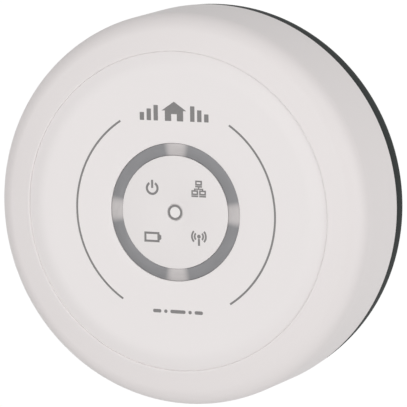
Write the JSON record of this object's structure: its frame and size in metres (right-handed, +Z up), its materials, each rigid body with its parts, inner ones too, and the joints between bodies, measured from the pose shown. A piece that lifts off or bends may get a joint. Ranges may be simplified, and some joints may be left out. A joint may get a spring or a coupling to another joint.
{
  "type": "wall-mounted home gateway",
  "caption": "Round wall-mounted home gateway with a white domed cover, brushed metal ring, status icons, a centre button, twist-lock bracket and back-up cells behind a sliding door.",
  "frame": {"origin": "centre of the wall bracket's flat back, on the wall", "axes": "+Z up, the front faces -Y, +X to the right when seen from the front; +Y points into the wall"},
  "size_m": [0.1698, 0.0525, 0.1698],
  "materials": {
    "white_plastic": "fine satin moulded white",
    "lens_plastic": "smooth translucent white",
    "dark_plastic": "fine textured dark grey-green",
    "black_plastic": "matt black",
    "brushed_metal": "brushed round its circle",
    "bracket_steel": "zinc plated sheet",
    "screw_steel": "zinc plated",
    "tinned_steel": "tinned sheet",
    "contact_metal": "nickel plated",
    "board_laminate": "solder mask over glass laminate",
    "led_epoxy": "clear epoxy",
    "ribbon_plastic": "flat cable film",
    "cell_sleeve": "shrink sleeve"
  },
  "bodies": {
    "bracket": {"wall_bracket": "bracket_steel"},
    "hub": {"rear_housing": "dark_plastic", "front_cover": "white_plastic", "face_disc": "white_plastic", "metal_ring": "brushed_metal", "icon_lens": "lens_plastic", "light_shield": "black_plastic", "button_switch": "black_plastic", "indicator_board": "board_laminate", "main_board": "board_laminate", "led_power": "led_epoxy", "led_network": "led_epoxy", "led_battery": "led_epoxy", "led_radio": "led_epoxy", "processor_can": "tinned_steel", "radio_can": "tinned_steel", "antenna_left": "board_laminate", "antenna_right": "board_laminate", "main_header": "ribbon_plastic", "front_header": "ribbon_plastic", "ribbon_cable": "ribbon_plastic", "ethernet_jack": "tinned_steel", "power_jack": "black_plastic", "power_pin": "contact_metal", "reset_switch": "black_plastic", "battery_spring_1": "contact_metal", "battery_cell_1": "cell_sleeve", "battery_spring_2": "contact_metal", "battery_cell_2": "cell_sleeve", "battery_spring_3": "contact_metal", "battery_cell_3": "cell_sleeve", "battery_spring_4": "contact_metal", "battery_cell_4": "cell_sleeve", "contact_plate_top_left": "contact_metal", "contact_plate_top_right": "contact_metal", "contact_plate_bottom_middle": "contact_metal", "contact_plate_negative": "contact_metal", "contact_plate_positive": "contact_metal", "housing_screw_1": "screw_steel", "housing_screw_2": "screw_steel", "housing_screw_3": "screw_steel", "housing_screw_4": "screw_steel", "board_screw_1": "screw_steel", "board_screw_2": "screw_steel", "board_screw_3": "screw_steel", "board_screw_4": "screw_steel", "indicator_screw_1": "screw_steel", "indicator_screw_2": "screw_steel", "indicator_screw_3": "screw_steel"},
    "button": {"button_cap": "lens_plastic"},
    "plunger": {"switch_plunger": "black_plastic"},
    "reset": {"reset_plunger": "dark_plastic"},
    "door": {"battery_door": "dark_plastic"}
  },
  "joints": [
    {"name": "hub_twist", "type": "hinge", "parent": "bracket", "child": "hub", "pos_m": [0, 0, 0], "axis": [0, -1, 0], "range_deg": [0, 20]},
    {"name": "button_press", "type": "slide", "parent": "hub", "child": "button", "axis": [0, 1, 0], "range_m": [0, 0.0005], "stiffness_N_per_m": 3000},
    {"name": "plunger_press", "type": "slide", "parent": "hub", "child": "plunger", "axis": [0, 1, 0], "range_m": [0, 0.0005]},
    {"name": "reset_press", "type": "slide", "parent": "hub", "child": "reset", "axis": [0, 0, 1], "range_m": [0, 0.0003], "stiffness_N_per_m": 3000},
    {"name": "battery_door_slide", "type": "slide", "parent": "hub", "child": "door", "axis": [0, 0, 1], "range_m": [0, 0.009]}
  ],
  "couplings": [
    {"joint": "plunger_press", "follows": "button_press", "ratio": 1}
  ]
}
